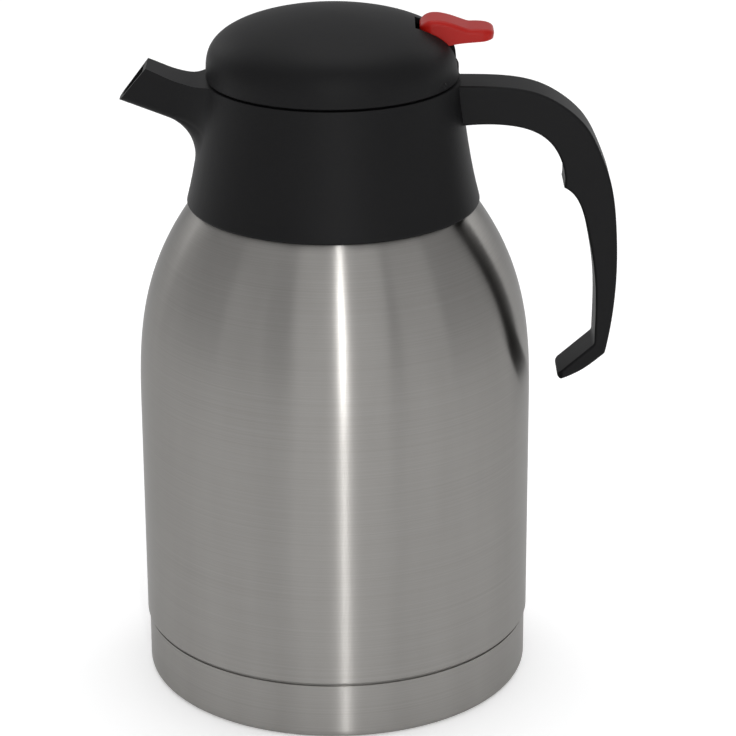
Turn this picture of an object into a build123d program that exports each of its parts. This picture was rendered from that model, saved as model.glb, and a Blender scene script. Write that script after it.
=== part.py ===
"""Two-litre thermal carafe: double-walled steel flask, moulded pouring collar with spout and handle,
and a screw-in stopper under a low dome, whose thumb lever lifts the pouring valve.

Millimetres. +Z is up and z = 0 is the surface that the carafe stands on. The body's axis is the Z axis,
the handle points to +X and the spout to -X.
"""

import os
from math import hypot, radians, sin

from build123d import *

os.makedirs("parts", exist_ok=True)

# ---- Driving dimensions: flask ----
BODY_R = 72.5  # outer radius of the straight steel wall
STEEL = 0.6  # sheet thickness of every pressed steel piece
VACUUM_GAP = 6.0  # between the two walls
SHOULDER_START_Z = 104.0  # where the straight wall starts to curve in
SHOULDER_END_Z = 199.5  # where the shoulder runs out at the neck
NECK_R = 39.5  # outside of the steel neck
NECK_H = 6.5  # from there to the top of the steel mouth
NECK_GAP = 0.8  # between the two walls at the neck
BASE_CUP_H = 21.4  # height of the cup around the foot
BASE_CUP_INSET = 0.7  # how far the cup stands back from the body wall
BASE_CORNER = 3.0  # outer corner radius of the cup
BASE_RING_W = 18.0  # width of the flat ring that the carafe stands on
BASE_RECESS = 2.0  # how far the middle of the cup is raised
GROOVE_H = 0.8  # groove between the cup and the body wall
JOGGLE_H = 1.2  # height of the step from the necked end to the body wall
SHELL_END_Z = 3.6  # lower edge of the outer shell, inside the cup
DISC_RISE = 4.6  # from the closing disc's edge up to its plate
VESSEL_FLOOR_Z = 16.0  # underside of the inner vessel
VESSEL_CORNER = 14.0  # rounding of the inner vessel's floor
GETTER_R = 6.0
GETTER_H = 2.0
EVACUATION_HOLE_R = 1.0

# ---- Driving dimensions: collar, spout and handle ----
COLLAR_RISE = 24.0  # of the collar's rim over the steel mouth
COLLAR_H = 46.0  # from the rim down to the collar's lower edge
RIM_W = 5.0  # from the well's bore to the outside of the rim
WAIST_SPREAD = 2.6  # how much wider than its rim the collar is at WAIST_SHARE of its height
WAIST_SHARE = 0.54
FOOT_SPREAD = 7.6  # how much wider it is at its lower edge
COLLAR_EDGE = 0.7  # rounding of the collar's edges
COLLAR_WALL = 2.5
WELL_MARGIN = 1.5  # of the stopper's well over the outside of the neck
LEDGE_SETBACK = 0.9  # of the ledge's opening behind the neck's bore
LEDGE_T = 2.0
SEAL_T = 1.2  # flat seal between mouth and ledge
NECK_GRIP = 0.1  # clearance of the collar around the neck
SPOUT_BLEND = 15.0  # radius that the spout flows into the collar with
SPOUT_KEEL = 3.4  # rounding along its underside
HANDLE_W = 18.0
HANDLE_EDGE = 1.0  # rounding of its long edges
HEEL_ROUND = 1.5
ANKLE_ROUND = 2.0
TOE_CORNER = 4.0  # corners of the handle's free end, seen from above
HAND_ROOM = 22.5  # between the body wall and the inside of the grip
ROOT_DEPTH = 3.0  # of the handle's root behind the collar's rim
ROOT_TOP_DROP = 1.4  # of the root's upper end under the rim
ROOT_LOW_DROP = 16.6  # of its lower end
TUBE_WALL = 2.3  # inner tube of the collar
TUBE_RISE = 1.0  # of the tube's lower edge over the shoulder's end
CAVITY_DEPTH = 13.0  # of the collar's cavity under the rim

# ---- Driving dimensions: lid ----
LID_GAP = 0.3  # between the collar's rim and the dome
DOME_SETBACK = 0.5  # of the dome behind the rim's outside
DOME_H = 24.2  # from the dome's lower edge to its crown
DOME_WALL = 2.2
DOME_EDGE = 0.6
DOME_SIDE = 1.6  # straight edge under the curve
DOME_HAUNCH = 0.48  # share of the curve's rise that the edge's upright tangent reaches
DOME_SHOULDER = 0.8  # share of the rise where the curve turns inward
DOME_CROWN = 0.3  # share of the radius that the crown's level tangent reaches
INDEX_DOT_R = 1.3
INDEX_DOT_ANGLE = -29.0  # degrees round from the handle
FLANGE_T = 2.0  # stopper flange, held in the dome's rim
FLANGE_RISE = 0.5  # of the flange over the dome's lower edge
STOPPER_CLEARANCE = 0.4
STOPPER_WALL = 2.0
STOPPER_NECK_GAP = 0.5  # between the stopper's lower part and the neck's bore
STOPPER_DEPTH = 36.0  # of the stopper's floor under the rim
ROOF_DEPTH = 12.0  # of the underside of the roof over its chamber
ROOF_T = 1.8
WINDOW_W = 24.0
WINDOW_H = 6.4
GASKET_H = 4.0
GASKET_RISE = 5.0  # of the gasket over the stopper's floor
GASKET_DEPTH = 1.4  # groove that holds it
GASKET_GAP = 0.3  # between the gasket and the neck's wall

# ---- Driving dimensions: pouring valve ----
SEAT_R = 9.0
SEAT_LIP = 1.0
STEM_R = 3.0
RUN_FIT = 0.1  # radial clearance of the stem and of the lever's hinge
PLUG_R = 12.0
PLUG_H = 3.0
PLUG_HUB_WALL = 2.2
PLUG_HUB_H = 4.6
VALVE_SEAL_T = 1.8
VALVE_SEAL_LIP = 0.5  # of the seal past the plug
FOOT_R = 6.0
FOOT_T = 1.5
CLIP_R = 6.2
CLIP_T = 0.9
CLIP_GROOVE = 0.6
CLIP_LIFT = 1.2  # of the clip above the roof
CLIP_ROOM = 1.0  # between the clip's ring and the stem
CLIP_LUG_W = 2.0
CLIP_LUG_END = 1.5  # of its lugs outside the stem
SPRING_WIRE_R = 0.4
SPRING_R = 4.9
SPRING_TURNS = 5
SPRING_LENGTH = 12.6
CAP_WALL = 1.6
CAP_CLEARANCE = 1.2  # between spring and cap
CAP_FLANGE_R = 15.0
CAP_FLANGE_T = 1.8
CAP_SCREW_PCD_R = 11.6
SCREW_R = 1.25
SCREW_HEAD_R = 2.3
SCREW_HEAD_H = 1.5
SCREW_LENGTH = 5.6
SCREW_TIP_ROOM = 0.8
BOSS_R = 2.9
WIPER_R = 5.6
WIPER_T = 2.0

# ---- Driving dimensions: lever ----
PIVOT_INSET = 9.5  # of the lever's hinge behind the dome's radius
PIVOT_RISE = 12.0  # of the hinge over the rim
LEVER_PIN_R = 1.5
LEVER_BOSS_R = 3.1
LEVER_W = 15.0
LEVER_GAP = 0.6  # between the lever and the sides of its slot
LEVER_FRONT = 4.7  # from the hinge to the front of the thumb pad
LEVER_TAIL = 22.2  # from the hinge to its tail
PAD_CREST = (-1.4, 9.9)  # highest point of the thumb pad, (x, z) from the hinge
PAD_DISH = (12.4, 7.1)  # lowest point of its hollow
PAD_TAIL_RISE = 6.3  # top of its tail over the hinge
PAD_LIP_T = 3.2  # thickness at the tail
PAD_ROOT = (7.0, 1.4)  # where the underside meets the web
PAD_CORNER = 4.5  # corners of the pad seen from above
PAD_EDGE = 1.8  # rounding of its upper edges
PAD_FRONT_FALL = 2.3  # of the pad's front edge under its crest
TAIL_UNDERCUT = 0.6  # how far the tail's lower edge stands back
ARM_SETBACK = 0.5  # of the arm's top under the hinge boss
ARM_TOP_FALL = 1.8  # how much lower the arm's top is at the fork than at the web
ARM_DROP = 4.6  # of the arm's underside at the fork under the hinge
FORK_DROP = 2.0  # of the cross pin under the hinge
CROSS_PIN_R = 1.2
FORK_W = 9.6
FORK_GAP = 4.6  # between the two tines
HEAD_W = 4.0  # flats of the stem's head
HEAD_RISE = 2.6  # of its top over the cross pin
HEAD_ROOM = 0.4  # from the spring cap up to the flats
SLOT_LENGTH = 5.0  # of the fork's slots for the cross pin
SLOT_SHIFT = 0.5  # of their middle in front of the pin
FORK_TIP = 2.1  # in front of the slots
FORK_ROUND = 1.0
FORK_ROOM = 1.5  # of the gap behind the stem
EAR_T = 2.5
EAR_MARGIN = 0.5  # of the ears past the lever's hinge boss
EAR_DROP = 0.4  # of their lower edge under it
RIM_WALL = 1.3  # of the dome around the stopper's flange
NOTCH_START = 4.1  # from the hinge to the wall of the notch under the lever
NOTCH_DROP = 1.4  # from the hinge down to the upper edge of that wall
NOTCH_RISE = 4.2  # of the notch's floor over the dome's lower edge
NOTCH_WALL = 1.5
SLOT_FRONT_GAP = 1.6  # between the lever's front and the end of its slot

# ---- Sizes that follow ----
MOUTH_Z = SHOULDER_END_Z + NECK_H
CUP_R = BODY_R - BASE_CUP_INSET
SHELL_LOW_R = CUP_R - STEEL
JOGGLE_Z = BASE_CUP_H + GROOVE_H - JOGGLE_H / 2
VESSEL_R = BODY_R - STEEL - VACUUM_GAP
NECK_BORE_R = NECK_R - 2 * STEEL - NECK_GAP
DISC_Z = SHELL_END_Z + DISC_RISE
LEDGE_Z = MOUTH_Z + SEAL_T
LEDGE_R = NECK_BORE_R + LEDGE_SETBACK
WELL_FLOOR_Z = LEDGE_Z + LEDGE_T
WELL_R = NECK_R + WELL_MARGIN
COLLAR_TOP_Z = MOUTH_Z + COLLAR_RISE
COLLAR_FOOT_Z = COLLAR_TOP_Z - COLLAR_H
COLLAR_TOP_R = WELL_R + RIM_W
COLLAR_WAIST_R = COLLAR_TOP_R + WAIST_SPREAD
COLLAR_FOOT_R = COLLAR_TOP_R + FOOT_SPREAD
DOME_R = COLLAR_TOP_R - DOME_SETBACK
DOME_Z = COLLAR_TOP_Z + LID_GAP
FLANGE_Z = DOME_Z + FLANGE_RISE
STOPPER_R = WELL_R - STOPPER_CLEARANCE
STOPPER_LOW_R = NECK_BORE_R - STOPPER_NECK_GAP
STOPPER_FLOOR_Z = COLLAR_TOP_Z - STOPPER_DEPTH
STOPPER_ROOF_Z = COLLAR_TOP_Z - ROOF_DEPTH
GASKET_Z = STOPPER_FLOOR_Z + GASKET_RISE
ROOF_TOP_Z = STOPPER_ROOF_Z + ROOF_T
SEAT_Z = STOPPER_FLOOR_Z + STOPPER_WALL + SEAT_LIP
PLUG_Z = SEAT_Z + VALVE_SEAL_T
CLIP_Z = ROOF_TOP_Z + CLIP_LIFT
SPRING_Z = CLIP_Z + CLIP_T
CAP_TOP_Z = SPRING_Z + SPRING_LENGTH
CAP_BORE_R = SPRING_R + SPRING_WIRE_R + CAP_CLEARANCE
STEM_BORE_R = STEM_R + RUN_FIT
PIVOT_X = DOME_R - PIVOT_INSET
PIVOT_Z = COLLAR_TOP_Z + PIVOT_RISE
LEVER_FRONT_X = PIVOT_X - LEVER_FRONT
NOTCH_X = PIVOT_X + NOTCH_START
NOTCH_TOP_Z = PIVOT_Z - NOTCH_DROP
ARM_LOW_Z = PIVOT_Z - ARM_DROP
FORK_Z = PIVOT_Z - FORK_DROP
HEAD_TOP_Z = FORK_Z + HEAD_RISE
SLOT_HALF = LEVER_W / 2 + LEVER_GAP
EAR_END_Y = SLOT_HALF + EAR_T
GRIP_X = BODY_R + HAND_ROOM
FLANGE_R = DOME_R - RIM_WALL


# ---- Flask ----
def shoulder_radius(z, wall_r, neck_r, end_z):
    """Radius of the shoulder at height z: full at its start, turning in ever faster to the neck."""
    share = (z - SHOULDER_START_Z) / (end_z - SHOULDER_START_Z)
    return neck_r + (wall_r - neck_r) * (1 - share**3) ** 1.125


def shoulder_points(wall_r, neck_r, end_z, steps=7, reach=0.985):
    """Points of the shoulder's curve, closer together where it turns in faster."""
    shares = [reach * sin(radians(90 * i / steps)) for i in range(steps + 1)]
    heights = [SHOULDER_START_Z + s * (end_z - SHOULDER_START_Z) for s in shares]
    return [(shoulder_radius(z, wall_r, neck_r, end_z), z) for z in heights]


SHOULDER_RUN_OUT = (-1.0, 1.0)


def shoulder_line(wall_r, neck_r, end_z):
    """Draw the shoulder into the open line builder, from the wall up to the neck, and return its ends."""
    points = shoulder_points(wall_r, neck_r, end_z)
    Spline(*points, tangents=[(0, 1), SHOULDER_RUN_OUT])
    return points[0], points[-1]


with BuildPart() as outer_shell:
    with BuildSketch(Plane.XZ):
        with BuildLine():
            low, high = shoulder_line(BODY_R, NECK_R, SHOULDER_END_Z)
            low_in, high_in = shoulder_line(BODY_R - STEEL, NECK_R - STEEL, SHOULDER_END_Z - STEEL)
            Polyline(
                low,
                (BODY_R, JOGGLE_Z + JOGGLE_H),
                (SHELL_LOW_R, JOGGLE_Z),
                (SHELL_LOW_R, SHELL_END_Z),
                (SHELL_LOW_R - STEEL, SHELL_END_Z),
                (SHELL_LOW_R - STEEL, JOGGLE_Z + STEEL / 3),
                (BODY_R - STEEL, JOGGLE_Z + JOGGLE_H + STEEL / 3),
                low_in,
            )
            Polyline(
                high,
                (NECK_R, SHOULDER_END_Z),
                (NECK_R, MOUTH_Z - STEEL),
                (NECK_R - STEEL, MOUTH_Z - STEEL),
                (NECK_R - STEEL, SHOULDER_END_Z - STEEL),
                high_in,
            )
        make_face()
    revolve(axis=Axis.Z)
outer_shell.part.label = "outer_shell"
export_step(outer_shell.part, "parts/outer_shell.step")

VESSEL_NECK_R = NECK_BORE_R + STEEL
VESSEL_END_Z = SHOULDER_END_Z - VACUUM_GAP
with BuildPart() as inner_vessel:
    with BuildSketch(Plane.XZ):
        with BuildLine():
            low, high = shoulder_line(VESSEL_R, VESSEL_NECK_R, VESSEL_END_Z)
            low_in, high_in = shoulder_line(VESSEL_R - STEEL, NECK_BORE_R, VESSEL_END_Z - STEEL)
            FilletPolyline((0, VESSEL_FLOOR_Z), (VESSEL_R, VESSEL_FLOOR_Z), low, radius=VESSEL_CORNER)
            FilletPolyline(
                (0, VESSEL_FLOOR_Z + STEEL),
                (VESSEL_R - STEEL, VESSEL_FLOOR_Z + STEEL),
                low_in,
                radius=VESSEL_CORNER - STEEL,
            )
            Line((0, VESSEL_FLOOR_Z), (0, VESSEL_FLOOR_Z + STEEL))
            Polyline(
                high,
                (VESSEL_NECK_R, VESSEL_END_Z),
                (VESSEL_NECK_R, MOUTH_Z - STEEL),
                (NECK_R, MOUTH_Z - STEEL),
                (NECK_R, MOUTH_Z),
                (NECK_BORE_R, MOUTH_Z),
                (NECK_BORE_R, VESSEL_END_Z - STEEL),
                high_in,
            )
        make_face()
    revolve(axis=Axis.Z)
inner_vessel.part.label = "inner_vessel"
export_step(inner_vessel.part, "parts/inner_vessel.step")

# The closing disc is a shallow pressing: an edge welded inside the shell, a flat plate, and in its
# middle a dimple with the evacuation hole.
DISC_R = SHELL_LOW_R - STEEL
DIMPLE_R = 5.0
DIMPLE_DEPTH = 1.2
DISC_CORNER = 2.5
with BuildPart() as bottom_disc:
    with BuildSketch(Plane.XZ):
        with BuildLine():
            FilletPolyline(
                (DISC_R, SHELL_END_Z),
                (DISC_R, DISC_Z),
                (DIMPLE_R, DISC_Z),
                (DIMPLE_R - DIMPLE_DEPTH, DISC_Z - DIMPLE_DEPTH),
                (EVACUATION_HOLE_R, DISC_Z - DIMPLE_DEPTH),
                radius=[DISC_CORNER, STEEL, STEEL],
            )
            offset(amount=STEEL, side=Side.LEFT)
        make_face()
    revolve(axis=Axis.Z)
bottom_disc.part.label = "bottom_disc"
export_step(bottom_disc.part, "parts/bottom_disc.step")

BEAD_R = 2.6
BEAD_H = 0.9
BEAD_Z = DISC_Z - DIMPLE_DEPTH - STEEL
with BuildPart() as evacuation_seal:
    with Locations((0, 0, BEAD_Z)):
        Cylinder(BEAD_R, BEAD_H, align=(Align.CENTER, Align.CENTER, Align.MAX))
        Cylinder(EVACUATION_HOLE_R, STEEL, align=(Align.CENTER, Align.CENTER, Align.MIN))
    fillet(evacuation_seal.edges().group_by(Axis.Z)[0], BEAD_H / 2)
evacuation_seal.part.label = "evacuation_seal"
export_step(evacuation_seal.part, "parts/evacuation_seal.step")

with BuildPart() as getter:
    with Locations((VESSEL_R / 2, 0, DISC_Z)):
        Cylinder(GETTER_R, GETTER_H, align=(Align.CENTER, Align.CENTER, Align.MIN))
    chamfer(getter.edges().group_by(Axis.Z)[-1], GETTER_H / 4)
getter.part.label = "getter"
export_step(getter.part, "parts/getter.step")

RING_IN_R = CUP_R - BASE_CORNER - BASE_RING_W
RECESS_R = RING_IN_R - 2 * BASE_RECESS
with BuildPart() as base_cup:
    with BuildSketch(Plane.XZ):
        with BuildLine():
            FilletPolyline(
                (CUP_R, BASE_CUP_H),
                (CUP_R, 0),
                (RING_IN_R, 0),
                (RECESS_R, BASE_RECESS),
                (0, BASE_RECESS),
                radius=[BASE_CORNER, 2 * STEEL, 2 * STEEL],
            )
            offset(amount=STEEL, side=Side.RIGHT)
        make_face()
    revolve(axis=Axis.Z)
base_cup.part.label = "base_cup"
export_step(base_cup.part, "parts/base_cup.step")

with BuildPart() as neck_seal:
    with BuildSketch(Plane.XY.offset(MOUTH_Z)):
        Circle(NECK_R)
        Circle(NECK_BORE_R + STEEL / 2, mode=Mode.SUBTRACT)
    extrude(amount=SEAL_T)
neck_seal.part.label = "neck_seal"
export_step(neck_seal.part, "parts/neck_seal.step")


# ---- Pouring collar with its spout ----
WAIST_Z = COLLAR_FOOT_Z + WAIST_SHARE * (COLLAR_TOP_Z - COLLAR_FOOT_Z)
COLLAR_FLANK = [(COLLAR_FOOT_R, COLLAR_FOOT_Z), (COLLAR_WAIST_R, WAIST_Z), (COLLAR_TOP_R, COLLAR_TOP_Z)]
FLANK_SLOPES = [(-0.27, 1), (-0.09, 1)]

# The full outside of the collar, to build it from and to trim the handle against.
with BuildPart() as collar_form:
    with BuildSketch(Plane.XZ):
        with BuildLine():
            Spline(*COLLAR_FLANK, tangents=FLANK_SLOPES)
            Polyline(COLLAR_FLANK[-1], (0, COLLAR_TOP_Z), (0, COLLAR_FOOT_Z), COLLAR_FLANK[0])
        make_face()
    revolve(axis=Axis.Z)
    fillet(collar_form.edges().filter_by(GeomType.CIRCLE), COLLAR_EDGE)

# What the steel shoulder and neck take up inside the collar.
with BuildPart() as shoulder_form:
    with BuildSketch(Plane.XZ):
        with BuildLine():
            low, high = shoulder_line(BODY_R + NECK_GRIP, NECK_R + NECK_GRIP, SHOULDER_END_Z)
            Polyline(
                high,
                (NECK_R + NECK_GRIP, SHOULDER_END_Z),
                (NECK_R + NECK_GRIP, MOUTH_Z),
                (0, MOUTH_Z),
                (0, SHOULDER_START_Z),
                low,
            )
        make_face()
    revolve(axis=Axis.Z)


def spout_point(reach, rise):
    """Point (x, z) of the spout: reach from the collar's rim, and height over the rim."""
    return (-COLLAR_TOP_R - reach, COLLAR_TOP_Z + rise)


# Outline of the spout across its length, from inside the collar to past the mouth:
# reach, rise of the top, rise of the bottom, half width of the top, half width of the bottom.
SPOUT_STATIONS = [
    (-16.0, 0.0, -24.8, 11.2, 7.0),
    (4.0, -0.7, -17.5, 9.4, 5.5),
    (17.0, 3.7, -12.7, 7.8, 4.7),
    (34.0, 10.8, -6.4, 6.8, 4.0),
]
# Its upper line, from the rim to past the mouth, and the two lips of the mouth: reach and rise.
SPOUT_ROOF = [(-3, 0), (1, -0.6), (4, -0.7), (7, -0.1), (11, 1.1), (17, 3.7), (24, 6.7), (38, 12.4)]
ROOF_SLOPES = [(-1, 0), (-0.92, 0.38)]
MOUTH_TOP = spout_point(20.6, 5.25)
MOUTH_LIP = spout_point(30.6, -7.4)
MOUTH_PLANE = Plane(
    origin=(MOUTH_TOP[0], 0, MOUTH_TOP[1]),
    x_dir=(0, 1, 0),
    z_dir=(MOUTH_LIP[1] - MOUTH_TOP[1], 0, MOUTH_TOP[0] - MOUTH_LIP[0]),
)
# The channel inside it, from the well to past the mouth: reach, rises of roof and floor, half widths.
CHANNEL_STATIONS = [
    (-10.0, -6.0, -20.4, 11.6, 5.4),
    (4.0, -3.4, -19.4, 8.6, 4.8),
    (9.0, -1.8, -14.8, 7.0, 4.2),
    (14.0, 0.2, -11.7, 6.0, 3.8),
    (20.0, 2.8, -9.5, 5.5, 3.6),
    (34.0, 8.7, -4.3, 4.7, 3.0),
]


def spout_section(reach, top, bottom, half_top, half_bottom, end_z=None):
    """Round-bottomed section of the spout or its channel, carried on up to end_z where that is given."""
    x, top_z = spout_point(reach, top)
    bottom_z = COLLAR_TOP_Z + bottom
    end_z = end_z or top_z
    end_y = half_top + (half_top - half_bottom) * (end_z - top_z) / (top_z - bottom_z)
    with BuildSketch(Plane.YZ.offset(x)) as section:
        with BuildLine():
            Polyline(
                (-end_y, end_z),
                (end_y, end_z),
                (half_bottom, bottom_z),
                (-half_bottom, bottom_z),
                close=True,
            )
        make_face()
        fillet(section.vertices().group_by(Axis.Y)[0], min(SPOUT_KEEL, 0.8 * half_bottom))
    return section.sketch


# Collar and spout are blended while both are still taller than the rim, and trimmed afterwards.
TRIM_Z = COLLAR_TOP_Z + SPOUT_BLEND
TRIM_R = COLLAR_TOP_R + FLANK_SLOPES[-1][0] * (TRIM_Z - COLLAR_TOP_Z)
with BuildPart() as spout_form:
    loft([spout_section(*station, end_z=TRIM_Z) for station in SPOUT_STATIONS])

with BuildPart() as spout_channel:
    loft([spout_section(*station) for station in CHANNEL_STATIONS], ruled=True)

with BuildPart() as collar_outside:
    with BuildSketch(Plane.XZ):
        with BuildLine():
            Spline(*COLLAR_FLANK, tangents=FLANK_SLOPES)
            Polyline(
                COLLAR_FLANK[-1], (TRIM_R, TRIM_Z), (0, TRIM_Z), (0, COLLAR_FOOT_Z), COLLAR_FLANK[0]
            )
        make_face()
    revolve(axis=Axis.Z)
    fillet(collar_outside.edges().group_by(Axis.Z)[0], COLLAR_EDGE)
    add(spout_form.part)
    seam = collar_outside.edges(Select.NEW).filter_by(GeomType.BSPLINE)
    fillet(seam.filter_by(lambda edge: edge.bounding_box().min.Z < COLLAR_TOP_Z + COLLAR_EDGE), SPOUT_BLEND)
    # Trim along the spout's upper line and the rim.
    with BuildSketch(Plane.XZ.offset(-COLLAR_FOOT_R)):
        with BuildLine():
            roof = [spout_point(*point) for point in SPOUT_ROOF]
            Spline(*roof, tangents=ROOF_SLOPES)
            Polyline(
                roof[-1],
                (roof[-1][0], 2 * TRIM_Z),
                (COLLAR_FOOT_R, 2 * TRIM_Z),
                (COLLAR_FOOT_R, COLLAR_TOP_Z),
                roof[0],
            )
        make_face()
    extrude(amount=2 * COLLAR_FOOT_R, mode=Mode.SUBTRACT)
    split(bisect_by=MOUTH_PLANE, keep=Keep.BOTTOM)

# Inside, the collar is an outer skin and an inner tube, joined at the rim; the tube carries the ledge
# that presses the flat seal on the steel mouth.
CAVITY_TOP_Z = COLLAR_TOP_Z - CAVITY_DEPTH
TUBE_FOOT_Z = SHOULDER_END_Z + TUBE_RISE
TUBE_R = NECK_R + NECK_GRIP + TUBE_WALL
with BuildPart() as collar_cavity:
    with BuildSketch(Plane.XZ):
        with BuildLine():
            inner_flank = [(r - COLLAR_WALL, z) for r, z in COLLAR_FLANK]
            Spline(*inner_flank, tangents=FLANK_SLOPES)
            Polyline(inner_flank[-1], (0, COLLAR_TOP_Z), (0, COLLAR_FOOT_Z), inner_flank[0])
        make_face()
        with BuildLine():
            Polyline(
                (0, COLLAR_TOP_Z),
                (WELL_R + TUBE_WALL, COLLAR_TOP_Z),
                (WELL_R + TUBE_WALL, LEDGE_Z),
                (TUBE_R, LEDGE_Z - TUBE_WALL),
                (TUBE_R, TUBE_FOOT_Z),
                (0, TUBE_FOOT_Z),
                close=True,
            )
        make_face(mode=Mode.SUBTRACT)
        with Locations((0, CAVITY_TOP_Z)):
            Rectangle(
                COLLAR_FOOT_R, COLLAR_TOP_Z, align=(Align.MIN, Align.MIN), mode=Mode.SUBTRACT
            )
    revolve(axis=Axis.Z)

with BuildPart() as pour_collar:
    add(collar_outside.part)
    add(collar_cavity.part, mode=Mode.SUBTRACT)
    with BuildSketch(Plane.XY.offset(COLLAR_FOOT_Z)):
        Circle(LEDGE_R)
    extrude(amount=COLLAR_TOP_Z - COLLAR_FOOT_Z, mode=Mode.SUBTRACT)
    with BuildSketch(Plane.XY.offset(COLLAR_FOOT_Z)):
        Circle(NECK_R + NECK_GRIP)
    extrude(amount=LEDGE_Z - COLLAR_FOOT_Z, mode=Mode.SUBTRACT)
    with BuildSketch(Plane.XY.offset(WELL_FLOOR_Z)):
        Circle(WELL_R)
    extrude(amount=COLLAR_TOP_Z - WELL_FLOOR_Z, mode=Mode.SUBTRACT)
    add(shoulder_form.part, mode=Mode.SUBTRACT)
    add(spout_channel.part, mode=Mode.SUBTRACT)
pour_collar.part.label = "pour_collar"
export_step(pour_collar.part, "parts/pour_collar.step")


# ---- Handle ----
# Its side outline: x from the inside of the grip, and z down from the collar's rim.
HANDLE_TOP = [(-34.7, 1.8), (-20.2, 4.6), (-10.5, 10.1)]
HANDLE_BACK = [(-3.5, 17.0), (1.9, 27.3), (5.3, 36.6), (8.0, 54.0), (8.6, 69.0)]
HEEL = [(7.6, 87.4), (4.9, 103.8)]
SOLE = [(0.9, 107.2), (-3.0, 110.1), (-8.0, 112.8)]
TOE = [(-11.3, 114.1), (-13.2, 112.6)]
ANKLE = (0.9, 100.3)
GRIP_LOW = [(1.1, 88.2), (0.7, 75.6), (-0.8, 64.7)]
GRIP_HIGH = [(-2.8, 55.0), (-4.3, 49.2), (-7.0, 43.4)]
FINGER_REST = (-11.3, 39.7)
PALM = [(-11.1, 36.0), (-12.0, 31.2), (-14.1, 26.2), (-17.7, 21.7)]
ROOT_UNDER = [(-22.3, 18.7), (-31.3, 16.3), (-40.5, 15.8)]


def grip(*points):
    """Points of the handle's outline, as (x, z) of the carafe."""
    return [(GRIP_X + x, COLLAR_TOP_Z - z) for x, z in points]


ROOT_X = COLLAR_TOP_R - ROOT_DEPTH
ROOT_TOP = (ROOT_X, COLLAR_TOP_Z - ROOT_TOP_DROP)
ROOT_LOW = (ROOT_X, COLLAR_TOP_Z - ROOT_LOW_DROP)
HEEL_END = grip(HEEL[-1])[0]
TOE_LOW, TOE_TIP = grip(*TOE)
ANKLE_POINT, REST_POINT = grip(ANKLE, FINGER_REST)
TOE_ROUND = hypot(TOE_LOW[0] - TOE_TIP[0], TOE_LOW[1] - TOE_TIP[1]) / 2


def handle_side(half_width):
    """Side outline of the handle, on the plane half_width behind its middle."""
    with BuildSketch(Plane.XZ.offset(-half_width)) as side:
        with BuildLine():
            Spline(ROOT_TOP, *grip(*HANDLE_TOP, *HANDLE_BACK, *HEEL))
            Spline(HEEL_END, *grip(*SOLE), TOE_LOW)
            Polyline(TOE_LOW, TOE_TIP, ANKLE_POINT)
            Spline(ANKLE_POINT, *grip(*GRIP_LOW, *GRIP_HIGH), REST_POINT)
            Spline(REST_POINT, *grip(*PALM, *ROOT_UNDER), ROOT_LOW)
            Line(ROOT_LOW, ROOT_TOP)
        make_face()
        fillet(side.vertices().sort_by_distance(HEEL_END)[0], HEEL_ROUND)
        fillet(side.vertices().sort_by_distance(ANKLE_POINT)[0], ANKLE_ROUND)
        fillet(side.vertices().sort_by_distance(TOE_TIP)[:2], TOE_ROUND)
    return side.sketch


with BuildPart() as handle:
    extrude(handle_side(HANDLE_W / 2), amount=HANDLE_W)
    side_edges = handle.faces().filter_by(Plane.XZ).edges()
    fillet(side_edges - side_edges.filter_by(Axis.Z), HANDLE_EDGE)
    with BuildSketch(Plane.XY.offset(TOE_LOW[1] - TOE_ROUND)):
        with Locations((TOE_TIP[0] + TOE_ROUND / 2, 0)):
            Rectangle(2 * TOE_CORNER, 2 * HANDLE_W)
            RectangleRounded(
                HAND_ROOM,
                HANDLE_W + HANDLE_EDGE,
                TOE_CORNER,
                align=(Align.MIN, Align.CENTER),
                mode=Mode.SUBTRACT,
            )
    extrude(amount=HANDLE_W / 2, mode=Mode.SUBTRACT)
    add(collar_form.part, mode=Mode.SUBTRACT)
handle.part.label = "handle"
export_step(handle.part, "parts/handle.step")


# ---- Dome ----
def dome_line(inset):
    """Draw the dome's curve, drawn in by inset, into the open line builder and return its two ends."""
    radius = DOME_R - inset
    foot = DOME_Z + DOME_SIDE
    rise = DOME_H - DOME_SIDE - inset
    Bezier(
        (radius, foot),
        (radius, foot + DOME_HAUNCH * rise),
        (radius, foot + DOME_SHOULDER * rise),
        (DOME_CROWN * radius, foot + rise),
        (0, foot + rise),
    )
    return (radius, foot), (0, foot + rise)


EAR_X = 2 * (LEVER_BOSS_R + EAR_MARGIN)
EAR_Z = PIVOT_Z - LEVER_BOSS_R - EAR_DROP
NOTCH_FLOOR_Z = DOME_Z + NOTCH_RISE
LEVER_SLOT_X = LEVER_FRONT_X - SLOT_FRONT_GAP
DOT_Z = DOME_Z + DOME_SIDE + INDEX_DOT_R / 2
# Full dome that ends in the middle of its wall, to trim what is joined to its inside.
with BuildPart() as dome_core:
    with BuildSketch(Plane.XZ):
        with BuildLine():
            edge, crown = dome_line(DOME_WALL / 2)
            Polyline(crown, (0, DOME_Z), (edge[0], DOME_Z), edge)
        make_face()
    revolve(axis=Axis.Z)

# Ears for the lever's pin and the pocket of the notch, both joined to the inside of the dome.
with BuildPart() as dome_fittings:
    with BuildSketch(Plane.XY.offset(EAR_Z)):
        with Locations((PIVOT_X, SLOT_HALF + EAR_T / 2), (PIVOT_X, -SLOT_HALF - EAR_T / 2)):
            Rectangle(EAR_X, EAR_T)
    extrude(amount=DOME_H)
    with BuildSketch(Plane.XY.offset(NOTCH_FLOOR_Z - NOTCH_WALL)):
        with Locations((NOTCH_X, 0)):
            Rectangle(DOME_R, 2 * (SLOT_HALF + NOTCH_WALL), align=(Align.MIN, Align.CENTER))
    extrude(amount=NOTCH_TOP_Z - NOTCH_FLOOR_Z + NOTCH_WALL)
    add(dome_core.part, mode=Mode.INTERSECT)

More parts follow.
